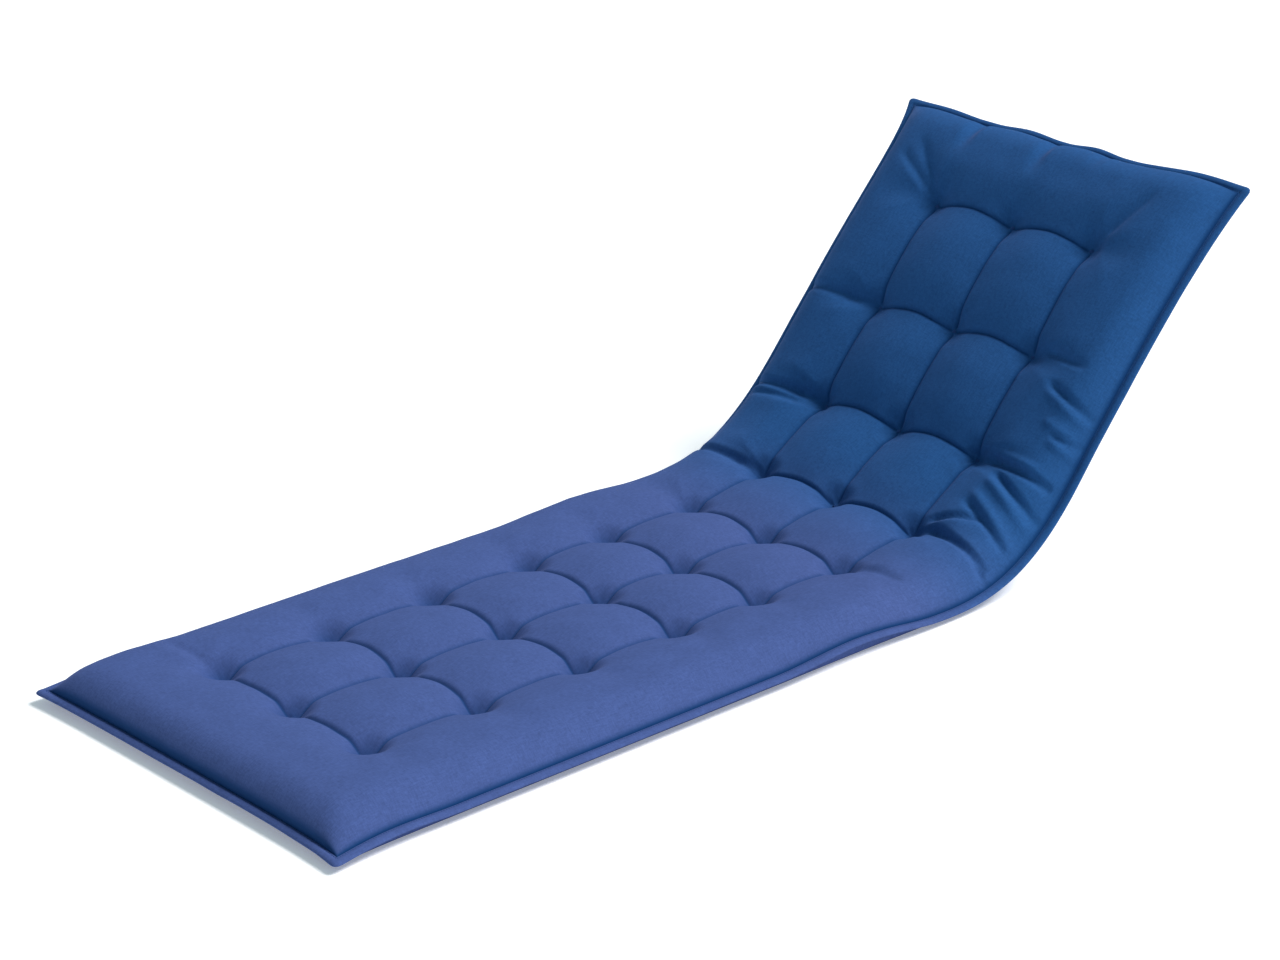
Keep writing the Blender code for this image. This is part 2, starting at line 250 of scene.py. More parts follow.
# Sharp small wrinkles in the top panel, as valleys (depth above 0) or ridges (below 0)
WRINKLES = (
    Fold(1.440, -0.185, 1.428, -0.328, 0.009, 0.014),
    Fold(1.452, -0.200, 1.446, -0.318, -0.003, 0.012),
    Fold(1.420, -0.225, 1.370, -0.335, 0.009, 0.012),
    Fold(1.404, -0.225, 1.350, -0.332, -0.005, 0.011),
    Fold(1.372, -0.215, 1.312, -0.330, -0.005, 0.013),
    Fold(1.350, -0.215, 1.300, -0.325, 0.007, 0.011),
    Fold(1.285, -0.175, 1.328, -0.280, 0.008, 0.012),
    Fold(1.276, -0.178, 1.252, -0.328, 0.010, 0.015),
    Fold(1.250, -0.312, 1.238, -0.336, 0.008, 0.010),
    Fold(1.500, -0.290, 1.486, -0.336, -0.005, 0.010),
    Fold(1.509, -0.290, 1.508, -0.336, 0.007, 0.010),
    Fold(1.530, -0.265, 1.512, -0.325, -0.004, 0.010),
    Fold(1.640, -0.180, 1.626, -0.300, 0.006, 0.014),
    Fold(1.590, -0.235, 1.554, -0.334, 0.007, 0.012),
    Fold(1.576, -0.240, 1.542, -0.330, -0.004, 0.010),
    Fold(1.112, -0.175, 1.108, -0.300, 0.004, 0.016),
    Fold(1.440, 0.175, 1.428, 0.345, 0.008, 0.014),
    Fold(1.420, 0.185, 1.404, 0.320, 0.005, 0.011),
    Fold(1.262, 0.175, 1.256, 0.345, 0.008, 0.016),
    Fold(1.622, 0.175, 1.619, 0.345, 0.007, 0.015),
    Fold(1.825, 0.172, 1.892, 0.288, 0.005, 0.012),
    Fold(1.830, 0.168, 1.925, 0.262, 0.004, 0.012),
    Fold(1.830, -0.182, 1.936, -0.242, 0.005, 0.013),
    Fold(0.190, 0.172, 0.176, 0.300, 0.003, 0.016),
)

# The cloth's colours, as linear red, green and blue, and the station where the back's is reached.
# The seat's colour holds a painted sheen, more violet than the back's.
SEAT_BLUE_WITH_PAINTED_SHEEN = (0.059, 0.096, 0.268)
BACK_BLUE = (0.020, 0.090, 0.264)
PAINTED_SHEEN_FADE_END = 1.38
# Painted shade: the fold colour darkens the creases, the tuft pits and the seam's groove, by the shares
# below
PAINTED_CREASE_SHADE_BLUE = (0.004, 0.040, 0.145)
PIT_SHADE_ON_SEAT = 0.75
PIT_SHADE_ON_BACK = 0.25
PIT_SHADE_REACH = 0.020
SEAM_SHADE_REACH = 0.0035
THREAD_BLUE = (0.024, 0.072, 0.230)
SHEEN_TINT = (0.42, 0.50, 1.0)
SHEEN_WEIGHT = 0.12
SHEEN_ROUGHNESS = 0.50
CLOTH_SPECULAR = 0.05
CLOTH_ROUGHNESS = (0.82, 0.96)
CLOTH_ROUGHNESS_SCALE = 400.0

# The cloth's unevenness: how many times each noise repeats in a metre, and how far it shades
NOISE_MIDDLE = (0.25, 0.75)
HEATHER_LONG_SCALE = 90.0
HEATHER_FINE_SCALE = 420.0
HEATHER_SHADE = (0.86, 1.14)
PATCH_SCALE = 30.0
PATCH_SHADE = (0.95, 1.05)
MOTTLE_SCALE = 170.0
MOTTLE_SHADE = (0.92, 1.08)

# The weave: its threads, how far they wander, and the thicker places in them
THREAD_PITCH = 0.0011
WEAVE_DEPTH = 0.00016
WEAVE_STRENGTH = 0.5
WANDER_SCALE = 60.0
WANDER_ANGLE = 2.5
SLUB_SCALES = (220.0, 1300.0, 1.0)
SLUB_SHARE = 1.6

# The sewing thread's surface
TWIST_SCALE = 2500.0
TWIST_SHADE = (0.8, 1.2)
TWIST_ROUGHNESS = (0.65, 0.8)
TWIST_DEPTH = 0.0001
TWIST_STRENGTH = 0.4
THREAD_SPECULAR = 0.1

# The camera's place and angles in the cloth's own frame
CAMERA_PLACE = (-2.367, -3.584, 2.131)
CAMERA_YAW = math.radians(48.15)
CAMERA_PITCH = math.radians(21.72)
CAMERA_ROLL = math.radians(-0.51)
PHOTO_WIDTH_PX = 1280
FOCAL_LENGTH_PX = 3495
SENSOR_WIDTH_MM = 36
CAMERA_CLIP_END = 1000.0

# The light: one broad soft source beyond the head end, and an even pale surround
KEY_TOWARDS = (0.48, -0.38, 0.79)
KEY_STRENGTH = 3.7
KEY_SPREAD = math.radians(28.0)
KEY_COLOUR = (1.0, 0.96, 0.94)
SURROUND_STRENGTH = 0.30
SURROUND_COLOUR = (0.65, 0.95, 1.05, 1.0)

# The floor, wide enough to fill low views
FLOOR_HALF_WIDTH = 250.0
FLOOR_COLOUR = (0.95, 0.95, 0.95, 1.0)
FLOOR_ROUGHNESS = 0.9
FLOOR_GLOW_COLOUR = (1.0, 1.0, 1.0, 1.0)
FLOOR_GLOW = 0.25


def smooth(value):
    """Ease from 0 to 1 as value goes from 0 to 1."""
    value = np.clip(value, 0.0, 1.0)
    return value * value * (3.0 - 2.0 * value)


def mixed(first, second, share):
    """From the first value to the second as the share goes from 0 to 1."""
    return first * (1 - share) + second * share


def bump(offset, reach):
    """A rounded bump, 1 at offset 0 and falling to 0 at the reach."""
    return smooth(1.0 - np.abs(offset) / reach)


def pinch(distance, depth, reach, power):
    """A sharp dip, deepest at distance 0 and gone at the reach."""
    return depth * np.clip(1.0 - distance / reach, 0.0, 1.0) ** power


def slope(station):
    """Angle of the cloth above the floor at a station."""
    turned = BACK_TURN * smooth((station - BEND_START) / BEND_LENGTH)
    eased = HEAD_EASE * smooth((station - HEAD_EASE_START) / (LENGTH - HEAD_EASE_START))
    return turned - eased


def side_profile():
    """Stations, x and z of the sewn edge's plane, one for each step along the cloth."""
    count = round(LENGTH / PROFILE_STEP)
    stations = np.arange(count + 1) * PROFILE_STEP
    angles = slope(stations[:-1] + PROFILE_STEP / 2.0)
    x = np.concatenate([[0.0], np.cumsum(np.cos(angles) * PROFILE_STEP)])
    z = np.concatenate([[0.0], np.cumsum(np.sin(angles) * PROFILE_STEP)]) + UNDERSIDE_DROP
    return stations, x, z


PROFILE_STATIONS, PROFILE_X, PROFILE_Z = side_profile()


def place(station, across, height):
    """The points in space of points of the cloth, as an array of x, y, z."""
    inside = np.clip(station, 0.0, LENGTH)
    beyond = station - inside
    angle = slope(station)
    x = np.interp(inside, PROFILE_STATIONS, PROFILE_X) + beyond * np.cos(angle)
    z = np.interp(inside, PROFILE_STATIONS, PROFILE_Z) + beyond * np.sin(angle)
    return np.stack([x - height * np.sin(angle), across + 0.0 * x, z + height * np.cos(angle)], -1)


def value_noise(along, across, cell, seed):
    """Smooth random values between -1 and 1, one lattice value for each cell."""
    margin = 4
    rows = int(LENGTH / cell) + 3 * margin
    columns = int(WIDTH / cell) + 3 * margin
    lattice = np.random.default_rng(seed).uniform(-1.0, 1.0, (rows, columns))
    row = np.clip(along / cell + margin, 0, rows - 2)
    column = np.clip((across + WIDTH / 2.0) / cell + margin, 0, columns - 2)
    low_row = np.floor(row).astype(int)
    low_column = np.floor(column).astype(int)
    row_share = smooth(row - low_row)
    column_share = smooth(column - low_column)
    next_row = np.minimum(low_row + 1, rows - 1)
    next_column = np.minimum(low_column + 1, columns - 1)
    low = mixed(lattice[low_row, low_column], lattice[low_row, next_column], column_share)
    high = mixed(lattice[next_row, low_column], lattice[next_row, next_column], column_share)
    return mixed(low, high, row_share)


def edge_distances(station, across):
    """Distance in from the nearer end seam and from the nearer side seam."""
    from_end = np.minimum(station, LENGTH - station) - FLANGE_WIDTH
    from_side = WIDTH / 2.0 - np.abs(across) - FLANGE_WIDTH
    return np.maximum(from_end, 0.0), np.maximum(from_side, 0.0)


def rolled_edge(distance, reach):
    """Quarter-round rise from 0 at the seam to 1 at the reach."""
    left = 1.0 - np.minimum(distance / reach, 1.0)
    return np.sqrt(1.0 - left * left)


def eased_rise(distance, reach):
    """Slanting rise from 0 at the seam, easing to 1 at the reach."""
    return 1.0 - (1.0 - np.minimum(distance / reach, 1.0)) ** EDGE_POWER


def filled_end(distance):
    """The share of the crown that the filling reaches at a distance in from an end's seam."""
    steep = EDGE_SHARE * rolled_edge(distance, END_ROLL)
    return steep + (1.0 - EDGE_SHARE) * rolled_edge(distance, SHOULDER_ROLL)


def filled_side(distance):
    """The same at a distance in from a side's seam."""
    steep = EDGE_SHARE * eased_rise(distance, SIDE_ROLL)
    return steep + (1.0 - EDGE_SHARE) * eased_rise(distance, SHOULDER_ROLL)


def corner_share(corner, station, across):
    """How much of a corner's shape a point takes, 1 at its tip and fading inwards."""
    corner_station = LENGTH if corner.at_head else 0.0
    corner_across = WIDTH / 2.0 if corner.at_far else -WIDTH / 2.0
    distance = np.hypot(station - corner_station, across - corner_across)
    return np.exp(-distance / CORNER_REACH)


def outline(station, across):
    """Move points of the plain rectangle to the cloth's drawn-in outline."""
    half_width = WIDTH / 2.0
    end_gap = np.maximum(np.minimum(station, LENGTH - station), 0.0)
    side_gap = np.maximum(half_width - np.abs(across), 0.0)
    side_pull = SIDE_DRAW * (1.0 - np.exp(-end_gap / CORNER_REACH))
    end_pull = END_DRAW * (1.0 - np.exp(-side_gap / CORNER_REACH))
    to_side = smooth(np.abs(across) / half_width * 2.0 - 1.0)
    to_end = np.exp(-end_gap / CORNER_REACH)
    at_head = station > LENGTH / 2.0
    moved_across = across - np.sign(across) * side_pull * to_side
    moved_station = station + np.where(at_head, -1.0, 1.0) * end_pull * to_end
    for bulge in HEAD_BULGES:
        out = bulge.out_along * bump(across - bulge.across, bulge.reach) * to_end
        moved_station = moved_station + np.where(at_head, out, 0.0)
    for corner in CORNERS:
        share = corner_share(corner, station, across)
        moved_station = moved_station + (1.0 if corner.at_head else -1.0) * corner.out_along * share
        moved_across = moved_across + (1.0 if corner.at_far else -1.0) * corner.out_across * share
    return moved_station, moved_across


def edge_lift(station, across):
    """Height of the sewn edge above its plane, fading out into the pad."""
    nearness = smooth(1.0 - (WIDTH / 2.0 - np.abs(across)) / SHOULDER_ROLL)
    lift = np.zeros_like(station + across)
    for wave in WAVES:
        side_lift = np.where(across > 0.0, wave.far_lift, wave.near_lift)
        lift = lift + side_lift * bump(station - wave.station, wave.reach) * nearness
    for corner in CORNERS:
        lift = lift + corner.lift * corner_share(corner, station, across)
    return lift


def fold_places(fold, station, across):
    """For each point, its share of the way along a fold, and its distance from the fold."""
    run_station = fold.to_station - fold.station
    run_across = fold.to_across - fold.across
    run = math.hypot(run_station, run_across)
    from_station = station - fold.station
    from_across = across - fold.across
    along = np.clip((from_station * run_station + from_across * run_across) / (run * run), 0.0, 1.0)
    aside = np.hypot(from_station - along * run_station, from_across - along * run_across)
    return along, aside


def row_troughs():
    """Soft troughs from the outer tufts of each row towards the side edges."""
    troughs = []
    for station in TUFT_ROWS:
        bent = float(bump(station - BEND_TROUGH_STATION, BEND_TROUGH_SPREAD))
        depth = ROW_TROUGH_DEPTH + BEND_TROUGH_DEPTH * bent
        for start in (-TUFT_SPACING_ACROSS, TUFT_SPACING_ACROSS):
            end = start + math.copysign(ROW_TROUGH_LENGTH, start)
            troughs.append(Fold(station, start, station, end, depth, ROW_TROUGH_REACH))
    return troughs


def trough_dip(station, across):
    """How far the troughs press the top down, each deepest where it starts."""
    deepest = np.zeros_like(station + across)
    for trough in (*TROUGHS, *row_troughs()):
        along, aside = fold_places(trough, station, across)
        dip = trough.depth * bump(aside, trough.reach) * (1.0 - smooth(along))
        deepest = np.maximum(deepest, dip)
    return deepest


def wrinkle_dip(station, across):
    """The sharp small wrinkles. They fade softly at both ends, but quickly where they meet a seam."""
    total = np.zeros_like(station + across)
    for wrinkle in WRINKLES:
        along, aside = fold_places(wrinkle, station, across)
        ends_at_seam = abs(wrinkle.to_across) > WIDTH / 2.0 - 2.0 * FLANGE_WIDTH
        end_fade = WRINKLE_SEAM_FADE if ends_at_seam else WRINKLE_END_FADE
        fade = smooth(along / WRINKLE_START_FADE) * smooth((1.0 - along) / end_fade)
        total = total + wrinkle.depth * fade * bump(aside, wrinkle.reach)
    return total


def row_offset(station, across):
    """Distance to the nearest crease that runs across, between tufts of one row."""
    past_side = np.maximum(np.abs(across) - TUFT_SPACING_ACROSS, 0.0)
    return np.min([np.hypot(station - row, past_side) for row in TUFT_ROWS], axis=0)


def column_offset(station, across):
    """Distance to the nearest crease that runs along, between tufts of one column."""
    past_end = np.maximum(np.maximum(TUFT_ROWS[0] - station, station - TUFT_ROWS[-1]), 0.0)
    return np.min([np.hypot(across - column, past_end) for column in TUFT_COLUMNS], axis=0)


def crease_valley(station, across, reach):
    """The wide valleys along the creases, from 1 in their bottoms to 0 at the reach."""
    row = np.hypot(row_offset(station, across), FOLD_ROUNDING)
    column = np.hypot(column_offset(station, across), FOLD_ROUNDING)
    above_row = 1.0 - pinch(row, 1.0, reach, CREASE_POWER)
    above_column = 1.0 - pinch(column, 1.0, reach, CREASE_POWER)
    return 1.0 - above_row * above_column


def tuft_distance(station, across):
    """Distance to the nearest tuft."""
    nearest = np.full(np.shape(station + across), 1.0)
    for row in TUFT_ROWS:
        for column in TUFT_COLUMNS:
            nearest = np.minimum(nearest, np.hypot(station - row, across - column))
    return nearest


def from_seat_to_back(station, on_seat, on_back):
    """A value that changes along the bend from the seat's to the back's."""
    return on_seat + (on_back - on_seat) * smooth((station - BEND_START) / BEND_LENGTH)


def column_fold_share(station, across):
    """How tight the folds along the columns are: tight at a tuft, soft half way to the next."""
    least = from_seat_to_back(station, COLUMN_FOLD_ON_SEAT, COLUMN_FOLD_ON_BACK)
    return least + (1.0 - least) * np.exp(-((tuft_distance(station, across) / COLUMN_FOLD_FADE) ** 2))


def tight_folds(station, across):
    """How closed the creases are, from 1 in the bottom of a tight fold to 0 away from it."""
    row = np.hypot(row_offset(station, across), FOLD_ROUNDING)
    column = np.hypot(column_offset(station, across), FOLD_ROUNDING)
    row_fold = pinch(row, 1.0, FOLD_REACH, CREASE_POWER)
    column_fold = pinch(column, 1.0, FOLD_REACH, CREASE_POWER) * column_fold_share(station, across)
    return np.maximum(row_fold, column_fold) * smooth(tuft_distance(station, across) / FOLD_END)


def crease_dip(station, across):
    """How far the creases between tufts press the top down."""
    valley = CREASE_DEPTH * crease_valley(station, across, CREASE_REACH)
    return valley + FOLD_DEPTH * tight_folds(station, across)


def tuft_dip(station, across, depth, reach):
    """The wide funnels round the tufts."""
    total = np.zeros_like(station + across)
    for row in TUFT_ROWS:
        for column in TUFT_COLUMNS:
            distance = np.sqrt((station - row) ** 2 + (across - column) ** 2 + TUFT_ROUNDING**2)
            total = total + pinch(distance, depth, reach, TUFT_POWER)
    return total


def tuft_puckers(station, across):
    """Small folds that run out from every tuft, turned a little differently at each."""
    draws = np.random.default_rng(PUCKER_SEED)
    total = np.zeros_like(station + across)
    for row in TUFT_ROWS:
        for column in TUFT_COLUMNS:
            turn = draws.uniform(0.0, 2.0 * math.pi)
            strength = draws.uniform(0.5, 1.0)
            distance = np.hypot(station - row, across - column)
            angle = np.arctan2(across - column, station - row)
            share = np.clip(distance / PUCKER_REACH, 0.0, 1.0)
            ring = PUCKER_RING_SCALE * share * (1.0 - share) ** 2
            total = total + strength * ring * np.cos(PUCKERS_ROUND_TUFT * angle + turn)
    return PUCKER_HEIGHT * total


def gathers(station, across):
    """Soft gathers of the cloth where it is sewn into the edge."""
    from_end, from_side = edge_distances(station, across)
    side_line = np.sign(across) * GATHER_SIDE_LINE
    end_line = np.where(station > LENGTH / 2.0, GATHER_HEAD_LINE, GATHER_FOOT_LINE)
    at_side = value_noise(station, side_line, GATHER_CELL, SIDE_GATHER_SEED)
    at_end = value_noise(end_line, across, GATHER_CELL, END_GATHER_SEED)
    at_side = at_side * np.exp(-from_side / GATHER_REACH)
    at_end = at_end * np.exp(-from_end / GATHER_REACH)
    return GATHER_HEIGHT * (at_side + at_end)


def top_height(station, across):
    """Height of the top panel above the sewn edge."""
    from_end, from_side = edge_distances(station, across)
    filled = filled_end(from_end) * filled_side(from_side)
    dips = np.maximum(crease_dip(station, across), trough_dip(station, across))
    dips = dips + tuft_dip(station, across, TUFT_DEPTH, TUFT_REACH)
    pit_depth = from_seat_to_back(station, PIT_DEPTH_ON_SEAT, PIT_DEPTH_ON_BACK)
    dips = dips + pit_depth * bump(tuft_distance(station, across), PIT_REACH)
    lumps = LUMP_HEIGHT * value_noise(station, across, LUMP_CELL, LUMP_SEED)
    lumps = lumps + RIPPLE_HEIGHT * value_noise(station, across, RIPPLE_CELL, RIPPLE_SEED)
    filling = filled * (CROWN - dips + lumps + tuft_puckers(station, across))
    seam_folds = np.sqrt(filled) * (gathers(station, across) - wrinkle_dip(station, across))
    lowest = np.maximum(filling + seam_folds, 0.0)
    return lowest + SEAM_THICKNESS / 2.0 + edge_lift(station, across)


def row_bow(station, across):
    """How far the creases of a row bow towards the head between two tufts."""
    inside = (np.abs(across) <= TUFT_SPACING_ACROSS) & (station > TUFT_ROWS[0]) & (station < LENGTH)
    between = np.sin(np.pi * across / TUFT_SPACING_ACROSS) ** 2
    fade = 1.0 - smooth((station - TUFT_ROWS[-1]) / SHOULDER_ROLL)
    bow = ROW_BOW * between * fade * smooth((station - TUFT_ROWS[0]) / SHOULDER_ROLL)
    return np.where(inside, bow, 0.0)


def cloth_point(station, across, height):
    """Points of the cloth in space, drawn in to the outline."""
    moved_station, moved_across = outline(station, across)
    return place(moved_station + row_bow(station, across), moved_across, height)


def under_points(station, across):
    """Points of the bottom panel, pressed flat where it meets the floor."""
    from_end, from_side = edge_distances(station, across)
    filled = rolled_edge(from_end, UNDER_ROLL) * rolled_edge(from_side, UNDER_ROLL)
    dip = tuft_dip(station, across, UNDER_TUFT_DEPTH, UNDER_TUFT_REACH)
    off_floor = smooth((station - FLOOR_END) / SHOULDER_ROLL)
    crease = UNDER_CREASE_DEPTH * crease_valley(station, across, UNDER_CREASE_REACH)
    depth = UNDERSIDE_DROP - SEAM_THICKNESS / 2.0 - dip - crease * off_floor
    height = -SEAM_THICKNESS / 2.0 - filled * depth + edge_lift(station, across) * (1.0 - filled)
    points = cloth_point(station, across, height)
    bottom = np.maximum(place(station, across, -UNDERSIDE_DROP)[..., 2], 0.0)
    settled = 1.0 - smooth((station - BEND_START) / (2.0 * (FLOOR_END - BEND_START)))
    points[..., 2] = np.maximum(points[..., 2] - bottom * settled * filled, 0.0)
    return points


def edge_stretch(distance, filled_edge):
    """How much longer the cloth is than its flat distance, from here in to the full crown."""
    fine = np.linspace(0.0, SHOULDER_ROLL, round(SHOULDER_ROLL / STRETCH_STEP) + 1)
    rise = np.diff(filled_edge(fine)) * CROWN
    run = np.diff(fine)
    extra = np.hypot(rise, run) - run
    left = np.concatenate([np.cumsum(extra[::-1])[::-1], [0.0]])
    return np.interp(distance, fine, left)


def cloth_coordinates(station, across):
    """Where a point lies on the flat cloth, measured along its surface."""
    from_end, from_side = edge_distances(station, across)
    towards_head = np.where(station > LENGTH / 2.0, 1.0, -1.0)
    along = station + towards_head * edge_stretch(from_end, filled_end)
    over = across + np.sign(across) * edge_stretch(from_side, filled_side)
    return np.stack([along, over], -1)


def eased_steps(start, stop, count):
    """Stations from start to stop, gathered towards both ends."""
    share = np.arange(count + 1) / count
    share = share - LINE_GATHER * np.sin(2.0 * np.pi * share) / (2.0 * np.pi)
    return start + (stop - start) * share


def grid_lines(low, stops, high, steps):
    """Mesh lines from one seam to the other, with a line through every tuft."""
    marks = [low, *stops, high]
    lines = [np.array([low])]
    for start, stop, count in zip(marks, marks[1:], steps):
        lines.append(eased_steps(start, stop, count)[1:])
    return np.concatenate(lines)


def pad_grid(steps_along, steps_across, inset=0.0):
    """Stations and acrosses of a grid over the pad, from seam to seam or a way inside them."""
    stations = grid_lines(SEAM_LOW, TUFT_ROWS, SEAM_HIGH, steps_along)
    acrosses = grid_lines(-SEAM_HALF_WIDTH, TUFT_COLUMNS, SEAM_HALF_WIDTH, steps_across)
    stations = stations[(stations >= SEAM_LOW + inset) & (stations <= SEAM_HIGH - inset)]
    acrosses = acrosses[np.abs(acrosses) <= SEAM_HALF_WIDTH - inset]
    return np.meshgrid(stations, acrosses, indexing="ij")


class MeshParts:
    """Collects points and faces, with where each point lies on the cloth."""

    def __init__(self):
        self.points = []
        self.cloth = []
        self.faces = []
        self.count = 0

    def add_points(self, points, cloth):
        """Add an array of points and return their indices in the same shape."""
        shape = points.shape[:-1]
        size = int(np.prod(shape))
        self.points.append(points.reshape(size, 3))
        self.cloth.append(cloth.reshape(size, 2))
        indices = np.arange(self.count, self.count + size).reshape(shape)
        self.count += size
        return indices

    def add_quads(self, *corners):
        """Faces from four arrays of point indices."""
        self.faces.append(np.stack([corner.ravel() for corner in corners], -1))

    def add_grid(self, grid):
        """Faces over a grid of point indices."""
        self.add_quads(grid[:-1, :-1], grid[1:, :-1], grid[1:, 1:], grid[:-1, 1:])

    def add_band(self, upper, lower):
        """Faces between two closed loops of as many points."""
        self.add_quads(upper, lower, np.roll(lower, -1), np.roll(upper, -1))

    def make(self, name, material, shift, bridged=()):
        """A smooth-shaded object, with a bridge of faces between each pair of loops given."""
        mesh = bpy.data.meshes.new(name)
        points = np.concatenate(self.points) + shift
        mesh.from_pydata(points.tolist(), [], np.concatenate(self.faces).tolist())
        shape = bmesh.new()
        shape.from_mesh(mesh)
        shape.verts.ensure_lookup_table()
        for loops in bridged:
            edges = []
            for loop in loops:
                ends = zip(loop, np.roll(loop, -1))
                edges.extend(shape.edges.get((shape.verts[a], shape.verts[b])) for a, b in ends)
            bmesh.ops.bridge_loops(shape, edges=edges)
        bmesh.ops.recalc_face_normals(shape, faces=shape.faces)
        shape.to_mesh(mesh)
        shape.free()
        mesh.shade_smooth()
        corner_points = np.zeros(len(mesh.loops), dtype=np.int32)
        mesh.loops.foreach_get("vertex_index", corner_points)
        cloth = np.concatenate(self.cloth)[corner_points].astype(np.float32)
        mesh.uv_layers.new(name="cloth").data.foreach_set("uv", cloth.ravel())
        mesh.materials.append(material)
        piece = bpy.data.objects.new(name, mesh)
        bpy.context.scene.collection.objects.link(piece)
        return piece


def add_point_values(piece, name, values):
    """Store one number for each point, for the material to read."""
    layer = piece.data.attributes.new(name, "FLOAT", "POINT")
    layer.data.foreach_set("value", values.astype(np.float32))


def boundary(grid):
    """The entries round the edge of a grid, in order."""
    return np.concatenate([grid[:, 0], grid[-1, 1:-1], grid[::-1, -1], grid[0, -2:0:-1]])


def cloth_shift():
    """From the cloth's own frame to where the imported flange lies."""
    low_corner = Vector(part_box("edge_flange")[0])
    high_corner = Vector(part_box("edge_flange")[1])
    stations = np.linspace(0.0, LENGTH, round(LENGTH / OUTLINE_STEP) + 1)
    acrosses = np.linspace(-WIDTH / 2.0, WIDTH / 2.0, round(WIDTH / OUTLINE_STEP) + 1)
    edges = []
    for across in (-WIDTH / 2.0, WIDTH / 2.0):
        edges.append(cloth_point(stations, np.full_like(stations, across), np.zeros_like(stations)))
    for station in (0.0, LENGTH):
        edges.append(cloth_point(np.full_like(acrosses, station), acrosses, np.zeros_like(acrosses)))
    edge = np.concatenate(edges)
    middle = (edge.min(axis=0) + edge.max(axis=0)) / 2.0
    packed = (low_corner + high_corner) / 2.0
    return np.array([packed.x - middle[0], packed.y - middle[1], 0.0])


def make_pad(material, shift):
    """The filled pad: a fine top panel, a bottom panel, and the narrow wall under the seam."""
    parts = MeshParts()
    station, across = pad_grid(TOP_STEPS_ALONG, TOP_STEPS_ACROSS)
    points = cloth_point(station, across, top_height(station, across))
    top = parts.add_points(points, cloth_coordinates(station, across))
    parts.add_grid(top)
    rim_station = boundary(station)
    rim_across = boundary(across)
    upper = boundary(top)
    middle = LENGTH / 2.0
    half_length = middle - FLANGE_WIDTH
    for inset in UNDER_RIMS:
        inner_station = middle + (rim_station - middle) * (1.0 - inset / half_length)
        inner_across = rim_across * (1.0 - inset / SEAM_HALF_WIDTH)
        points = under_points(inner_station, inner_across)
        lower = parts.add_points(points, np.stack([inner_station, inner_across], -1))
        parts.add_band(upper, lower)
        upper = lower
    inset = UNDER_ROLL + UNDER_GRID_GAP
    under_station, under_across = pad_grid(UNDER_STEPS_ALONG, UNDER_STEPS_ACROSS, inset)
    points = under_points(under_station, under_across)
    under = parts.add_points(points, np.stack([under_station, under_across], -1))
    parts.add_grid(under)
    pad = parts.make("pad_cover", material, shift, bridged=[(upper, boundary(under))])
    # Painted shade: a value for the tight creases, round the tuft pits and along the seam's groove,
    # which the material mixes towards its fold colour
    pit = from_seat_to_back(station, PIT_SHADE_ON_SEAT, PIT_SHADE_ON_BACK)
    pit = pit * np.exp(-((tuft_distance(station, across) / PIT_SHADE_REACH) ** 2))
    folds = np.zeros(parts.count)
    groove = np.exp(-((np.minimum(*edge_distances(station, across)) / SEAM_SHADE_REACH) ** 2))
    shade = np.maximum(np.maximum(tight_folds(station, across), pit), groove)
    folds[top.ravel()] = shade.ravel()
    add_point_values(pad, "fold", folds)
    return pad


def seam_path(step):
    """Stations and acrosses round the seam, with each point's way out to the edge.

    A corner of the seam comes several times, once for each point of its rounded tip.
    """
    low = SEAM_LOW
    high = SEAM_HIGH
    half = SEAM_HALF_WIDTH
    along = np.linspace(low, high, round((high - low) / step) + 1)
    over = np.linspace(-half, half, round(2.0 * half / step) + 1)
    station, across = np.meshgrid(along, over, indexing="ij")
    points = np.stack([boundary(station), boundary(across)], -1)
    outs = []
    for axis, (least, most) in enumerate(((low, high), (-half, half))):
        values = points[:, axis]
        outs.append(np.where(values >= most, 1.0, 0.0) - np.where(values <= least, 1.0, 0.0))
    outs = np.stack(outs, -1)
    path = []
    for index, (point, out) in enumerate(zip(points, outs)):
        if out[0] and out[1]:
            before = outs[index - 1]
            after = outs[(index + 1) % len(outs)]
            for first, second in ROUNDED_CORNER:
                path.append((*point, *(first * before + second * after)))
        else:
            path.append((*point, *out))
    return np.array(path).T


def flange_half_thickness(share):
    """Half the flange's thickness at a share of its width."""
    shares = [row[0] for row in FLANGE_SECTION]
    halves = [row[1] for row in FLANGE_SECTION]
    return np.interp(share, shares, halves)


def flange_ripple(station, across):
    """A slight waviness of the flat flange."""
    return FLANGE_RIPPLE * value_noise(station, across, FLANGE_RIPPLE_CELL, FLANGE_RIPPLE_SEED)


def make_flange(material, shift):
    """The flat flange: a double layer of cloth with a sunk seam and a rounded outer edge.

    Its inner edge is tucked into the pad, so that no light comes through the seam.
    """
    parts = MeshParts()
    station, across, out_station, out_across = seam_path(FLANGE_POINT_STEP)
    upper = [(share * FLANGE_WIDTH, half) for share, half in FLANGE_SECTION]
    upper[0] = (-SEAM_TUCK, upper[0][1])
    lower = [(out, -half) for out, half in reversed(upper)]
    loops = []
    for out, height in (*upper, (FLANGE_WIDTH, 0.0), *lower):
        outer_station = station + out_station * out
        outer_across = across + out_across * out
        share = max(out, 0.0) / FLANGE_WIDTH
        droop = FLANGE_DROOP * share * share
        lift = edge_lift(station, across) + flange_ripple(station, across) * share - droop
        points = cloth_point(outer_station, outer_across, height + lift)
        loops.append(parts.add_points(points, np.stack([outer_station, outer_across], -1)))
    for index, loop in enumerate(loops):
        parts.add_band(loop, loops[(index + 1) % len(loops)])
    return parts.make("flange_cover", material, shift)


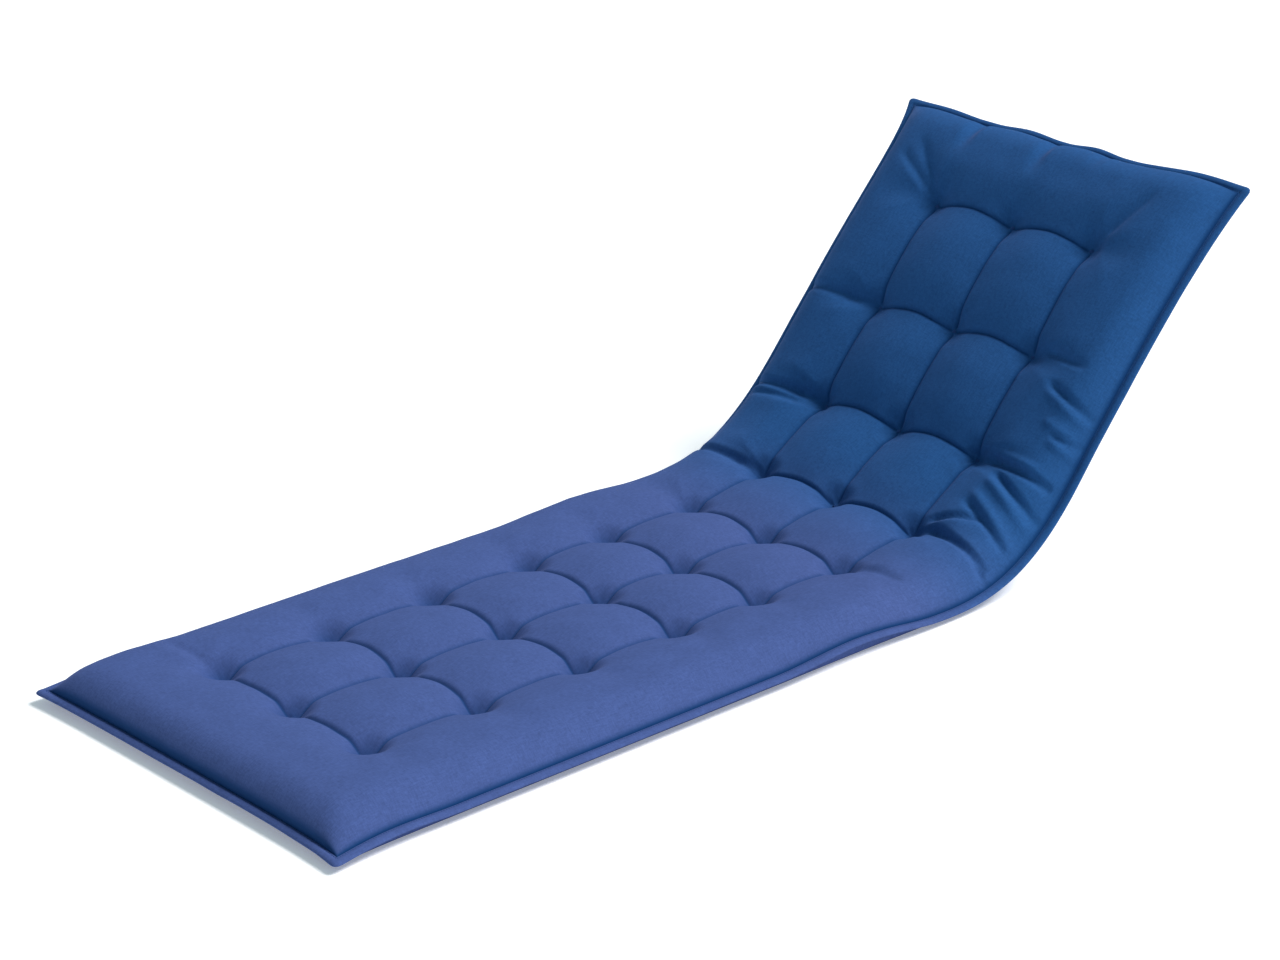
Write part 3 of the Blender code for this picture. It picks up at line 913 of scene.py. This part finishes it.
def add_thread(parts, start, end, lift, radius):
    """A short thread between two points, sunk at both ends and raised in the middle."""
    widths = THREAD_WIDTHS * radius
    rises = THREAD_RISES * radius
    along = end - start
    along = along / np.linalg.norm(along)
    aside = np.cross(lift, along)
    centres = start + np.outer(THREAD_SHARES, end - start) + np.outer(rises, lift)
    angles = np.arange(THREAD_SIDES) * 2.0 * np.pi / THREAD_SIDES
    ring = np.outer(np.cos(angles), aside) + np.outer(np.sin(angles), lift)
    points = centres[:, None, :] + widths[:, None, None] * ring[None, :, :]
    rows = parts.add_points(points, np.zeros((*points.shape[:-1], 2)))
    for low, high in zip(rows, rows[1:]):
        parts.add_band(low, high)
    # Each end is closed with two faces of four points
    for cap in (rows[0][::-1], rows[-1]):
        parts.add_quads(cap[[0]], cap[[1]], cap[[2]], cap[[3]])
        parts.add_quads(cap[[0]], cap[[3]], cap[[4]], cap[[5]])


def surface_frame(station, across, height):
    """A point at a height above the cloth's plane, and the way off the cloth there."""
    station, across, height = (np.array([value]) for value in (station, across, height))
    here = cloth_point(station, across, height)[0]
    above = cloth_point(station, across, height + LIFT_PROBE)[0]
    lift = (above - here) / np.linalg.norm(above - here)
    return here, lift


def make_edge_stitches(material, shift):
    """The row of stitches in the groove of the flange, on both its faces."""
    parts = MeshParts()
    out = STITCH_OUT * FLANGE_WIDTH
    half_length = LENGTH / 2.0 - FLANGE_WIDTH + out
    half_width = SEAM_HALF_WIDTH + out
    middle = LENGTH / 2.0
    corners = (
        (middle - half_length, -half_width),
        (middle + half_length, -half_width),
        (middle + half_length, half_width),
        (middle - half_length, half_width),
    )
    for index, corner in enumerate(corners):
        following = corners[(index + 1) % len(corners)]
        run = math.hypot(following[0] - corner[0], following[1] - corner[1])
        count = int(run / STITCH_PITCH)
        starts = (np.arange(count) + 0.5) * run / count
        for start in starts:
            ends = []
            for distance in (start - STITCH_LENGTH / 2.0, start + STITCH_LENGTH / 2.0):
                share = distance / run
                ends.append([corner[axis] + (following[axis] - corner[axis]) * share for axis in (0, 1)])
            for side in (1.0, -1.0):
                add_edge_stitch(parts, ends, side)
    return parts.make("edge_stitching", material, shift)


def add_edge_stitch(parts, ends, side):
    """One stitch on the upper (1) or lower (-1) face of the flange."""
    half = float(flange_half_thickness(STITCH_OUT))
    placed = []
    for station, across in ends:
        near_station = min(max(station, SEAM_LOW), SEAM_HIGH)
        near_across = min(max(across, -SEAM_HALF_WIDTH), SEAM_HALF_WIDTH)
        here = (np.array([near_station]), np.array([near_across]))
        droop = FLANGE_DROOP * STITCH_OUT * STITCH_OUT
        lift = float(edge_lift(*here)[0]) + float(flange_ripple(*here)[0]) * STITCH_OUT - droop
        placed.append(surface_frame(station, across, side * half + lift))
    start, way_off = placed[0]
    end = placed[1][0]
    add_thread(parts, start, end, side * way_off, THREAD_RADIUS)


def make_tuft_bars(material, shift):
    """A short bar of thread in the bottom of every tuft."""
    parts = MeshParts()
    draws = np.random.default_rng(BAR_SEED)
    for row in TUFT_ROWS:
        for column in TUFT_COLUMNS:
            turn = draws.uniform(-BAR_TURN, BAR_TURN)
            height = top_height(np.array([row]), np.array([column]))[0] + BAR_LIFT
            for thread in range(BAR_THREADS):
                aside = (thread - (BAR_THREADS - 1) / 2.0) * BAR_THREAD_SPACING * BAR_THREAD_RADIUS
                ends = []
                for half in (-BAR_LENGTH / 2.0, BAR_LENGTH / 2.0):
                    station = row + aside * math.cos(turn) - half * math.sin(turn)
                    across = column + aside * math.sin(turn) + half * math.cos(turn)
                    ends.append(surface_frame(station, across, height))
                add_thread(parts, ends[0][0], ends[1][0], ends[0][1], BAR_THREAD_RADIUS)
    return parts.make("tuft_stitching", material, shift)


class Nodes:
    """Short ways to add and join the nodes of one material."""

    def __init__(self, name):
        self.material = bpy.data.materials.new(name)
        self.material.use_nodes = True
        self.tree = self.material.node_tree
        self.shader = self.tree.nodes["Principled BSDF"]

    def add(self, kind, inputs=(), **settings):
        """A node with its settings, and with its inputs set or joined by socket name or index."""
        node = self.tree.nodes.new(kind)
        for name, value in settings.items():
            setattr(node, name, value)
        for socket, value in dict(inputs).items():
            self.set(node, socket, value)
        return node

    def set(self, node, socket, value):
        """Give a socket a fixed value, or join it to another node's output."""
        if isinstance(value, bpy.types.NodeSocket):
            self.tree.links.new(value, node.inputs[socket])
        else:
            node.inputs[socket].default_value = value

    def math(self, operation, first, second=0.0):
        """The output of one arithmetic node."""
        return self.add("ShaderNodeMath", {0: first, 1: second}, operation=operation).outputs[0]

    def cloth(self):
        """Metres along and across the cloth, as a vector output."""
        return self.add("ShaderNodeUVMap", uv_map="cloth").outputs["UV"]

    def stretched(self, vector, scale):
        """A vector with each of its parts multiplied by a scale."""
        node = self.add("ShaderNodeVectorMath", {0: vector, 1: scale}, operation="MULTIPLY")
        return node.outputs["Vector"]

    def noise(self, vector, detail=2.0, roughness=0.5):
        """Noise between 0 and 1 over a stretched vector."""
        inputs = {"Vector": vector, "Scale": 1.0, "Detail": detail, "Roughness": roughness}
        return self.add("ShaderNodeTexNoise", inputs).outputs["Fac"]

    def remap(self, value, low, high):
        """Bring the middle range of a noise to between low and high."""
        inputs = {"Value": value, "To Min": low, "To Max": high}
        inputs["From Min"], inputs["From Max"] = NOISE_MIDDLE
        return self.add("ShaderNodeMapRange", inputs).outputs["Result"]

    def blend(self, share, first, second, kind="MIX"):
        """A mix of two colours, which are inputs 6 and 7 of the node."""
        node = self.add("ShaderNodeMix", {0: share}, data_type="RGBA", blend_type=kind)
        self.set(node, 6, first)
        self.set(node, 7, second)
        return node.outputs[2]


def opaque(colour):
    """A colour with its alpha."""
    return (*colour, 1.0)


def even(scale):
    """The same scale along and across the cloth."""
    return (scale, scale, 1.0)


def woven_cloth(name, with_painted_crease_shade=False):
    """Matt woven cloth, faintly heathered, with a painted sheen that makes the seat a little more violet
    than the back, and painted shade in the folds when asked.
    """
    nodes = Nodes(name)
    cloth = nodes.cloth()
    along_scales = (HEATHER_LONG_SCALE, HEATHER_FINE_SCALE, 1.0)
    over_scales = (HEATHER_FINE_SCALE, HEATHER_LONG_SCALE, 1.0)
    along = nodes.noise(nodes.stretched(cloth, along_scales), detail=4.0, roughness=0.7)
    over = nodes.noise(nodes.stretched(cloth, over_scales), detail=4.0, roughness=0.7)
    patches = nodes.noise(nodes.stretched(cloth, even(PATCH_SCALE)), detail=3.0)
    mottle = nodes.noise(nodes.stretched(cloth, even(MOTTLE_SCALE)), detail=3.0, roughness=0.6)
    along_shade = nodes.remap(along, *HEATHER_SHADE)
    over_shade = nodes.remap(over, *HEATHER_SHADE)
    shade = nodes.math("MULTIPLY", along_shade, over_shade)
    shade = nodes.math("MULTIPLY", shade, nodes.remap(patches, *PATCH_SHADE))
    shade = nodes.math("MULTIPLY", shade, nodes.remap(mottle, *MOTTLE_SHADE))
    grey = nodes.add("ShaderNodeCombineColor", {0: shade, 1: shade, 2: shade}).outputs[0]
    # Painted sheen: the seat's more violet colour changes to the back's along the bend
    station = nodes.add("ShaderNodeSeparateXYZ", {0: cloth}).outputs[0]
    ends = {"Value": station, "From Min": BEND_START, "From Max": PAINTED_SHEEN_FADE_END}
    painted_sheen_fade = nodes.add("ShaderNodeMapRange", ends, interpolation_type="SMOOTHSTEP")
    on_back = painted_sheen_fade.outputs["Result"]
    blue_with_painted_sheen = nodes.blend(on_back, opaque(SEAT_BLUE_WITH_PAINTED_SHEEN), opaque(BACK_BLUE))
    colour = nodes.blend(1.0, blue_with_painted_sheen, grey, kind="MULTIPLY")
    # Painted shade: darker, deeper blue where the pad's stored fold value marks creases, tuft pits and
    # the seam's groove
    if with_painted_crease_shade:
        fold = nodes.add("ShaderNodeAttribute", attribute_name="fold").outputs["Fac"]
        colour = nodes.blend(fold, colour, opaque(PAINTED_CREASE_SHADE_BLUE))
    nodes.set(nodes.shader, "Base Color", colour)
    uneven = nodes.noise(nodes.stretched(cloth, even(CLOTH_ROUGHNESS_SCALE)))
    nodes.set(nodes.shader, "Roughness", nodes.remap(uneven, *CLOTH_ROUGHNESS))
    nodes.set(nodes.shader, "Specular IOR Level", CLOTH_SPECULAR)
    nodes.set(nodes.shader, "Sheen Weight", SHEEN_WEIGHT)
    nodes.set(nodes.shader, "Sheen Roughness", SHEEN_ROUGHNESS)
    nodes.set(nodes.shader, "Sheen Tint", opaque(SHEEN_TINT))
    nodes.set(nodes.shader, "Normal", weave_bump(nodes, cloth))
    return nodes.material


def weave_bump(nodes, cloth):
    """The threads going over and under each other, a little uneven."""
    wander = nodes.noise(nodes.stretched(cloth, even(WANDER_SCALE)))
    wander = nodes.math("MULTIPLY", wander, WANDER_ANGLE)
    parts = nodes.add("ShaderNodeSeparateXYZ", {0: cloth})
    turns = math.pi / THREAD_PITCH
    waves = []
    for axis in (0, 1):
        angle = nodes.math("MULTIPLY", parts.outputs[axis], turns)
        waves.append(nodes.math("SINE", nodes.math("ADD", angle, wander)))
    threads = nodes.math("MULTIPLY", waves[0], waves[1])
    slubs = nodes.noise(nodes.stretched(cloth, SLUB_SCALES), detail=3.0)
    height = nodes.math("ADD", threads, nodes.math("MULTIPLY", slubs, SLUB_SHARE))
    inputs = {"Strength": WEAVE_STRENGTH, "Distance": WEAVE_DEPTH, "Height": height}
    return nodes.add("ShaderNodeBump", inputs).outputs["Normal"]


def thread_material():
    """Twisted sewing thread, a little darker than the cloth."""
    nodes = Nodes("sewing_thread")
    where = nodes.add("ShaderNodeTexCoord").outputs["Object"]
    twist = nodes.noise(nodes.stretched(where, (TWIST_SCALE,) * 3), detail=1.0)
    shade = nodes.remap(twist, *TWIST_SHADE)
    grey = nodes.add("ShaderNodeCombineColor", {0: shade, 1: shade, 2: shade}).outputs[0]
    colour = nodes.blend(1.0, opaque(THREAD_BLUE), grey, kind="MULTIPLY")
    nodes.set(nodes.shader, "Base Color", colour)
    nodes.set(nodes.shader, "Roughness", nodes.remap(twist, *TWIST_ROUGHNESS))
    nodes.set(nodes.shader, "Specular IOR Level", THREAD_SPECULAR)
    inputs = {"Strength": TWIST_STRENGTH, "Distance": TWIST_DEPTH, "Height": twist}
    nodes.set(nodes.shader, "Normal", nodes.add("ShaderNodeBump", inputs).outputs["Normal"])
    return nodes.material


def make_camera(shift):
    """The camera at the photograph's angle, and the scene's colour handling."""
    towards = Vector(
        (
            math.cos(CAMERA_PITCH) * math.cos(CAMERA_YAW),
            math.cos(CAMERA_PITCH) * math.sin(CAMERA_YAW),
            -math.sin(CAMERA_PITCH),
        )
    )
    level_right = towards.cross(Vector((0.0, 0.0, 1.0))).normalized()
    level_up = level_right.cross(towards)
    right = math.cos(CAMERA_ROLL) * level_right + math.sin(CAMERA_ROLL) * level_up
    up = math.cos(CAMERA_ROLL) * level_up - math.sin(CAMERA_ROLL) * level_right
    data = bpy.data.cameras.new("camera")
    data.sensor_width = SENSOR_WIDTH_MM
    data.lens = FOCAL_LENGTH_PX / PHOTO_WIDTH_PX * SENSOR_WIDTH_MM
    data.clip_end = CAMERA_CLIP_END
    camera = bpy.data.objects.new("camera", data)
    turn = Matrix((right, up, -towards)).transposed().to_4x4()
    camera.matrix_world = Matrix.Translation(Vector(CAMERA_PLACE) + Vector(shift)) @ turn
    bpy.context.scene.collection.objects.link(camera)
    bpy.context.scene.camera = camera
    bpy.context.scene.view_settings.view_transform = "Standard"


def make_light():
    """One broad soft key light and an even pale surround."""
    data = bpy.data.lights.new("key", "SUN")
    data.energy = KEY_STRENGTH
    data.angle = KEY_SPREAD
    data.color = KEY_COLOUR
    key = bpy.data.objects.new("key", data)
    key.rotation_euler = Vector(KEY_TOWARDS).to_track_quat("Z", "Y").to_euler()
    bpy.context.scene.collection.objects.link(key)
    world = bpy.data.worlds.new("surround")
    world.use_nodes = True
    world.node_tree.nodes["Background"].inputs["Color"].default_value = SURROUND_COLOUR
    world.node_tree.nodes["Background"].inputs["Strength"].default_value = SURROUND_STRENGTH
    bpy.context.scene.world = world


def make_floor():
    """A plain pale floor."""
    nodes = Nodes("pale_floor")
    nodes.set(nodes.shader, "Base Color", FLOOR_COLOUR)
    nodes.set(nodes.shader, "Roughness", FLOOR_ROUGHNESS)
    nodes.set(nodes.shader, "Emission Color", FLOOR_GLOW_COLOUR)
    nodes.set(nodes.shader, "Emission Strength", FLOOR_GLOW)
    half = FLOOR_HALF_WIDTH
    mesh = bpy.data.meshes.new("floor")
    corners = [(-half, -half, 0.0), (half, -half, 0.0), (half, half, 0.0), (-half, half, 0.0)]
    mesh.from_pydata(corners, [], [(0, 1, 2, 3)])
    mesh.materials.append(nodes.material)
    floor = bpy.data.objects.new("floor", mesh)
    bpy.context.scene.collection.objects.link(floor)


def main():
    """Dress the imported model, and set the camera, the light and the floor."""
    shift = cloth_shift()
    make_camera(shift)
    make_light()
    make_floor()
    thread = thread_material()
    pad = make_pad(woven_cloth("pad_cloth", with_painted_crease_shade=True), shift)
    flange = make_flange(woven_cloth("flange_cloth"), shift)
    edge_stitches = make_edge_stitches(thread, shift)
    tuft_bars = make_tuft_bars(thread, shift)
    for piece in (pad, flange, edge_stitches, tuft_bars):
        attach(piece, "root")
    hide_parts("pad")
    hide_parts("edge_flange")


main()
